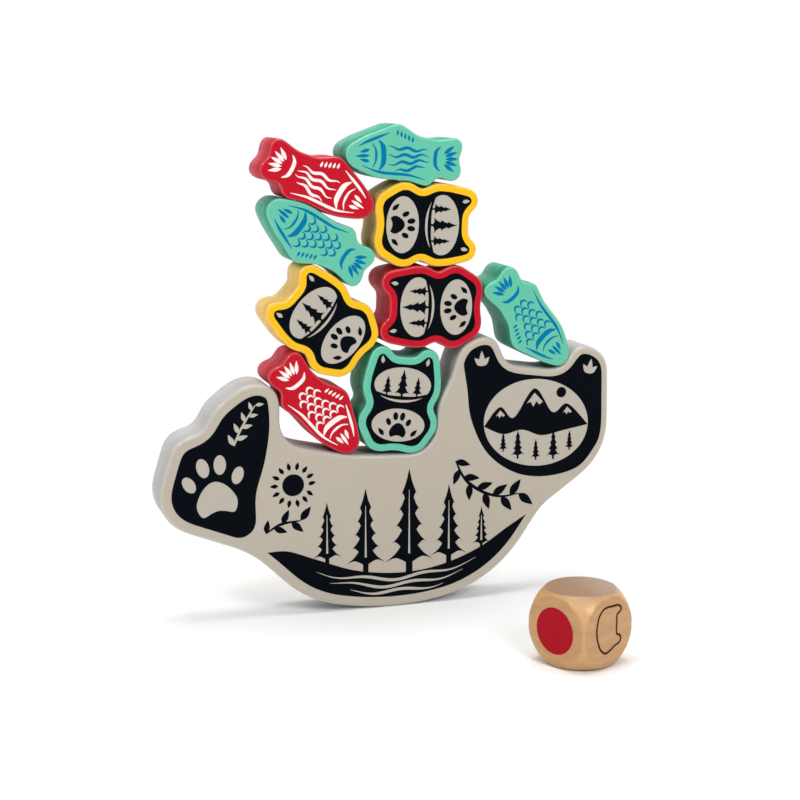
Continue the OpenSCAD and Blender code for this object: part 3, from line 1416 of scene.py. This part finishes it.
@dataclass(frozen=True)
class CubPrint:
    """Print of a cub: a dark patch with a window on pines and a panel with a paw print.

    Attributes:
        margin: paint left bare round the patch.
        edge: radius of the cub's rounded edge.
        soft: reach over which the patch's corners are rounded.
    """

    margin: float = 3.2
    edge: float = 1.2
    soft: float = 0.9

    def draw(self, sheet: Sheet, front: Loop) -> None:
        """Draws the whole print.

        Args:
            sheet: the sheet to draw on.
            front: outline of the cub's flat front.
        """
        sheet.fill(Ink.NAVY, 0, soften(inset(front, self.margin - self.edge), self.soft))
        sheet.fill(Ink.STONE, 1, oval(0, 10.6, 12.6, 7.5), oval(0, -6.7, 11.8, 7.1))
        ground = ribbon([(-11.8, 7.0), (-5, 5.2), (5, 5.2), (11.8, 7.0)], (0.8, 1.6, 0.8))
        pines = ((0, 5.2, 12.2), (-6.7, 5.9, 8.6), (6.7, 5.9, 8.6))
        trees = [pine(x, z, height, height * 0.56, 3) for x, z, height in pines]
        sheet.fill(Ink.NAVY, 2, ground, *trees)
        sheet.fill(Ink.NAVY, 2, *paw(0, -8.7, 7.4))
        for side in (-1, 1):
            sheet.fill(Ink.STONE, 1, moved(leaf(3.4, 1.6), side * 9.8, 19.2, 90 - side * 8))
            sheet.fill(Ink.NAVY, 2, moved(leaf(4.2, 1.8), side * 5.9, -11.4, 90 - side * 42))


@dataclass(frozen=True)
class FishPrint:
    """Print of a fish that faces right: scales or ripples, fin rays and a fanned tail.

    Attributes:
        ink: its ink.
        scaly: whether it has scales, not ripples.
        margin: paint left bare round it.
        stride: how many of the outline's points the lines along it go on at once.
    """

    ink: Ink
    scaly: bool
    margin: float = 1.3
    stride: int = 12

    def draw(self, sheet: Sheet, front: Loop) -> None:
        """Draws the whole print.

        Args:
            sheet: the sheet to draw on.
            front: outline of the fish's flat front.
        """
        line = inset(front, self.margin)
        belly = stretch(line, (-7, -11), (22, -4.6))[:: self.stride]
        back = stretch(line, (22.5, 5), (6.5, 11.5))[:: self.stride]
        strokes = [
            ribbon(belly, (0.2, 1.2, 1.2, 0.2)),
            ribbon(back, (0.2, 1.2, 1.2, 0.2)),
            ribbon([(13.2, 6.6), (11.2, 3.6), (11.0, -2.5), (13, -6.0)], (0.2, 2.2, 2.2, 0.2)),
            ribbon([(16.0, 5.2), (14.3, 2.4), (14.3, -2), (15.8, -4.8)], (0.2, 1.1, 0.2)),
            ribbon([(-13.8, 4.0), (-11.7, 1.6), (-11.5, -3.6), (-13.6, -6.2)], (0.2, 1.6, 1.6, 0.2)),
        ]
        for rise, turn, length in ((2.7, -16, 4.6), (0.2, -3, 6.4), (-2.3, 12, 4.6)):
            strokes.append(moved(leaf(length, 1.4), 16.8, rise, turn))
        for turn, length in ((144, 5.8), (162, 5.8), (180, 5.6), (198, 5.8), (216, 5.8)):
            strokes.append(moved(moved(leaf(length, 1.6), 3.4, 0), -12.4, -1.1, turn))
        sheet.fill(self.ink, 0, *strokes)
        sheet.row(self.ink, 0, moved(leaf(2.6, 1.0), 0, -1.3, 70), [[(-1.9, 6.6), (4.6, 9.5)]], 1.7)
        if self.scaly:
            self._scales(sheet)
        else:
            self._ripples(sheet)

    def _scales(self, sheet: Sheet) -> None:
        """Staggered rows of scales behind the gill.

        Args:
            sheet: the sheet to draw on.
        """
        first, pitch, gap, low = 8.3, 3.7, 2.9, -4.6
        bow = [(-1.6, -0.7), (-1.1, 0.65), (0, 1.25), (1.1, 0.65), (1.6, -0.7)]
        columns = []
        for number, count in enumerate((4, 3, 3, 2, 3, 2)):
            x = first - gap * number
            start = low + pitch / 2 * (number % 2)
            columns.append([(x, start), (x, start + pitch * (count - 1))])
        sheet.row(self.ink, 0, ribbon(bow, (0.3, 1.15, 0.3)), columns, pitch)

    def _ripples(self, sheet: Sheet) -> None:
        """Long ripples from the gill to the tail, closer together at the tail.

        Args:
            sheet: the sheet to draw on.
        """
        tail, pitch, swing, pace = -9, 3.1, 0.55, 0.85
        waves = []
        for level, start, stop in ((-2, -7, 6), (-1, -9, 9), (0, -9, 9), (1, -8, 9)):
            line = [
                (x, 0.1 + pitch * level * (0.62 + 0.028 * (x - tail)) + swing * math.sin(x * pace + level))
                for x in range(start, stop + 1)
            ]
            waves.append(ribbon(line, (0.2, 1.25, 1.25, 0.2)))
        sheet.fill(self.ink, 0, *waves)


@dataclass(frozen=True)
class Lamp:
    """A square soft lamp.

    Attributes:
        name: name of the light.
        place: its middle.
        side: length of its side.
        power: its power in watts.
    """

    name: str
    place: Spot
    side: float
    power: float


@dataclass(frozen=True)
class Studio:
    """The floor, the lamps, the world and the camera of the photograph.

    Attributes:
        eye: place of the camera.
        target: point that the camera and the lamps look at.
        lens: focal length.
        film: width of the film.
        sight: metres that the camera sees.
        lamps: the lamps.
        floor_side: length of the floor's side.
        floor_near: distance at which the floor starts to turn white.
        floor_far: distance at which it is white.
        floor_tone: screen colour of the floor.
        floor_shade: screen colour of its duller spots.
        front_glow: strength of the world's light from in front.
        back_glow: strength of the world's light from behind.
        glow_from: how far back, from -1 to 1, the light starts to grow stronger.
        glow_to: how far back it is at its strongest.
    """

    eye: Spot = (-209.9, -685.0, 224.2)
    target: Spot = (1.36, -10.75, 90.67)
    lens: float = 76.5
    film: float = 36.0
    sight: float = 100.0
    lamps: tuple[Lamp, ...] = (
        Lamp("key", (180, -900, 720), 420, 4.5),
        Lamp("left", (-640, -360, 760), 150, 1.6),
        Lamp("top", (0, 60, 1500), 1000, 11.0),
    )
    floor_side: float = 6000.0
    floor_near: float = 260.0
    floor_far: float = 520.0
    floor_tone: Screen = (250, 250, 250)
    floor_shade: Screen = (247, 247, 247)
    front_glow: float = 0.12
    back_glow: float = 0.85
    glow_from: float = -0.75
    glow_to: float = -0.1

    def build(self) -> None:
        """Builds the stage and points the camera."""
        self._floor()
        for lamp in self.lamps:
            self._lamp(lamp)
        self._world()
        self._camera()

    def _aim(self, place: Spot) -> Euler:
        """The turn of a lamp or camera that looks from a place at the target."""
        return (Vector(self.target) - Vector(place)).to_track_quat("-Z", "Y").to_euler()

    def _floor(self) -> None:
        """A pale floor that turns plain white away from the object."""
        half = self.floor_side / 2 * MM
        corners = [(-half, -half, 0), (half, -half, 0), (half, half, 0), (-half, half, 0)]
        mesh = bpy.data.meshes.new("floor")
        mesh.from_pydata(corners, [], [(0, 1, 2, 3)])
        floor = put("floor", mesh)
        shader = Shader("floor")
        soft = shader.noise(shader.place, 2.0, 2.0)
        tone = shader.blend(soft, self.floor_tone, self.floor_shade)
        pale = shader.surface(Base_Color=tone, Roughness=0.9)
        away = shader.add("ShaderNodeVectorMath", shader.place, operation="LENGTH", pick="Value")
        share = away.ramp(self.floor_near * MM, self.floor_far * MM)
        painted = shader.output.links[0].from_socket
        white = shader.node("ShaderNodeEmission").outputs[0]
        shader.feed(shader.output, shader.mix(share, painted, white))
        mesh.materials.append(pale)

    def _lamp(self, lamp: Lamp) -> None:
        """Hangs a lamp that points at the target.

        Args:
            lamp: the lamp.
        """
        light = bpy.data.lights.new(lamp.name, "AREA")
        light.shape = "SQUARE"
        light.size = lamp.side * MM
        light.energy = lamp.power
        made = put(lamp.name, light)
        made.location = Vector(lamp.place) * MM
        made.rotation_euler = self._aim(lamp.place)

    def _world(self) -> None:
        """Soft light from all sides, and plain white behind the object."""
        world = bpy.data.worlds.new("studio")
        world.use_nodes = True
        graph = Graph(world.node_tree)
        rays = graph.node("ShaderNodeLightPath").outputs
        direct = graph.calc("MAXIMUM", rays["Is Camera Ray"], rays["Is Glossy Ray"])
        direct = graph.calc("MAXIMUM", direct, rays["Is Transmission Ray"])
        place = graph.node("ShaderNodeTexCoord").outputs["Generated"]
        split = graph.node("ShaderNodeSeparateXYZ", {"Vector": place})
        fade = graph.node(
            "ShaderNodeMapRange",
            {
                "Value": split.outputs["Y"],
                "From Min": self.glow_from,
                "From Max": self.glow_to,
                "To Min": self.front_glow,
                "To Max": self.back_glow,
            },
            interpolation_type="SMOOTHSTEP",
        )
        glow = graph.node("ShaderNodeBackground", {"Strength": fade.outputs[0]})
        seen = graph.node("ShaderNodeBackground", {"Color": (1, 1, 1, 1), "Strength": 1.0})
        mixed = graph.mix(direct, glow.outputs[0], seen.outputs[0])
        graph.node("ShaderNodeOutputWorld", {"Surface": mixed})
        bpy.context.scene.world = world

    def _camera(self) -> None:
        """Sets up the camera of the photograph."""
        data = bpy.data.cameras.new("camera")
        data.lens = self.lens
        data.sensor_width = self.film
        data.clip_end = self.sight
        camera = put("camera", data)
        camera.location = Vector(self.eye) * MM
        camera.rotation_euler = self._aim(self.eye)
        scene = bpy.context.scene
        scene.camera = camera
        scene.view_settings.view_transform = "Standard"


@dataclass(frozen=True)
class Kind:
    """What boards of one kind share.

    Attributes:
        edge: radius of the rounded edge.
        soft: reach over which the outline's curves run into each other.
        notch: depth of the hollow in the tail's end.
        notch_place: the hollow's middle, in the board's axes.
        notch_reach: distance over which the hollow fades.
    """

    edge: float = 1.2
    soft: float = 1.8
    notch: float = 0.0
    notch_place: Point = (-22.5, -1.4)
    notch_reach: float = 3.6

    def outline(self, front: Loop) -> Loop:
        """Smooths the outline of the flat front.

        Args:
            front: the CAD's outline, in the board's axes.

        Returns:
            The smooth outline.
        """
        line = soften(front, self.soft)[::2]
        far = [math.dist(spot, self.notch_place) / self.notch_reach for spot in line]
        return [(x + self.notch * math.exp(-(away**2)), z) for (x, z), away in zip(line, far)]


@dataclass(frozen=True)
class Piece:
    """One board of the pile.

    Attributes:
        node: its CAD node.
        slot: name of its paint.
        kind: the kind of board.
        pose: its place.
        art: its print.
    """

    node: str
    slot: str
    kind: Kind
    pose: Pose
    art: Art

    def build(self, inks: dict[Ink, bpy.types.Material], repeat: Repeat) -> None:
        """Makes the board with its paint and its print.

        Args:
            inks: the material of every ink.
            repeat: the tree that repeats motifs.
        """
        board = Board(self.node)
        outline = self.kind.outline(self.pose.local(board.front()))
        board.carve(self.pose.world(outline), self.kind.edge)
        sheet = Sheet(f"{self.node}_print", inks, repeat)
        self.art.draw(sheet, outline)
        sheet.lay(self.pose.matrix(), self.pose.flipped)
        paint = Paint(f"{self.node}_paint", COLOURS[self.slot], self.pose.turn)
        board.finish(paint.build())


SCALES_RED = FishPrint(Ink.WHITE, scaly=True)
RIPPLES_RED = FishPrint(Ink.WHITE, scaly=False)
SCALES_MINT = FishPrint(Ink.BLUE, scaly=True)
RIPPLES_MINT = FishPrint(Ink.BLUE, scaly=False)
STAND = Kind(edge=2.0, soft=4.5)
CUB = Kind()
FISH = Kind(notch=1.3)
PIECES = (
    Piece("bear_base", "base_paint", STAND, Pose(), BasePrint()),
    Piece("cub_mint", "mint_paint", CUB, Pose(1.33, 86.54, -7.0), CubPrint()),
    Piece("cub_yellow_side", "yellow_paint", CUB, Pose(-28.29, 122.12, 47.1), CubPrint()),
    Piece("cub_red", "red_paint", CUB, Pose(19.60, 129.50, 87.8), CubPrint()),
    Piece("cub_yellow_top", "yellow_paint", CUB, Pose(9.20, 164.39, -92.1), CubPrint()),
    Piece("fish_red_low", "red_paint", FISH, Pose(-35.09, 91.30, -53.2), SCALES_RED),
    Piece("fish_mint_left", "mint_paint", FISH, Pose(-32.29, 158.42, 142.8), SCALES_MINT),
    Piece("fish_red_top", "red_paint", FISH, Pose(-34.09, 183.49, -30.3), RIPPLES_RED),
    Piece("fish_mint_top", "mint_paint", FISH, Pose(5.28, 192.82, -1.1, True), RIPPLES_MINT),
    Piece("fish_mint_right", "mint_paint", FISH, Pose(58.99, 123.28, 132.9, True), SCALES_MINT),
)


@dataclass(frozen=True)
class Die:
    """The wooden die, with its spots and the pictogram of the base.

    Attributes:
        node: its CAD node.
        edge: length of its edge.
        turn: degrees that it is turned about Z.
        spot: radius of a spot.
        line: width of the pictogram's line.
        spots: the ink of each spot, and degrees from the pictogram's face to its face.
        rocker: points of the pictogram, clockwise.
    """

    node: str = "die"
    edge: float = 30.0
    turn: float = 26.0
    spot: float = 9.3
    line: float = 0.85
    spots: tuple[tuple[Ink, float], ...] = (
        (Ink.SPOT_RED, 270),
        (Ink.SPOT_MINT, 180),
        (Ink.SPOT_YELLOW, 90),
    )
    rocker: tuple[Point, ...] = (
        *((1.2, 9.9), (4.6, 9.7), (6.5, 8.4), (6.0, 7.0), (4.2, 5.9), (4.1, 3.0), (4.1, -1.4)),
        *((5.8, -2.5), (6.7, -4.1), (5.7, -5.6), (3.2, -6.3), (0.6, -7.6), (-2.3, -8.3), (-5.2, -6.4)),
        *((-6.9, -3.0), (-7.7, 0.7), (-7.5, 3.9), (-6.4, 7.3), (-4.2, 9.5), (-1.5, 10.1)),
    )

    def build(self, inks: dict[Ink, bpy.types.Material], repeat: Repeat) -> None:
        """Dresses the die and prints its faces.

        Args:
            inks: the material of every ink.
            repeat: the tree that repeats motifs.
        """
        board = Board(self.node)
        board.finish(BareWood("die_wood", self.turn).build())
        for ink, side in self.spots:
            sheet = Sheet(f"{self.node}_{ink.value}", inks, repeat)
            sheet.fill(ink, 0, oval(0, 0, self.spot, self.spot, steps=72))
            sheet.lay(self._face(side))
        sheet = Sheet(f"{self.node}_pictogram", inks, repeat)
        outline = curve(self.rocker, closed=True)[::-1]
        half = self.line / 2
        sheet.holed(Ink.BARK, 0, inset(outline, -half), inset(outline, half))
        sheet.lay(self._face(0))

    def _face(self, side: float) -> Matrix:
        """Finds a side face.

        Args:
            side: degrees anticlockwise from the face at the front right.

        Returns:
            The matrix that takes the face's axes to the frame.
        """
        low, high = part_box(self.node)
        turned = Matrix.Rotation(math.radians(self.turn + side), 4, "Z")
        outwards = Matrix.Translation((0, -self.edge / 2 * MM, 0))
        return Matrix.Translation((low + high) / 2) @ turned @ outwards


def main() -> None:
    """Builds the stage and every piece of the game."""
    logging.basicConfig(level=logging.INFO, format="%(message)s")
    Studio().build()
    inks = {ink: InkFinish(f"{ink.value}_ink", colour).build() for ink, colour in INKS.items()}
    repeat = Repeat("repeat_along")
    for piece in PIECES:
        piece.build(inks, repeat)
    Die().build(inks, repeat)


if __name__ == "__main__":
    main()
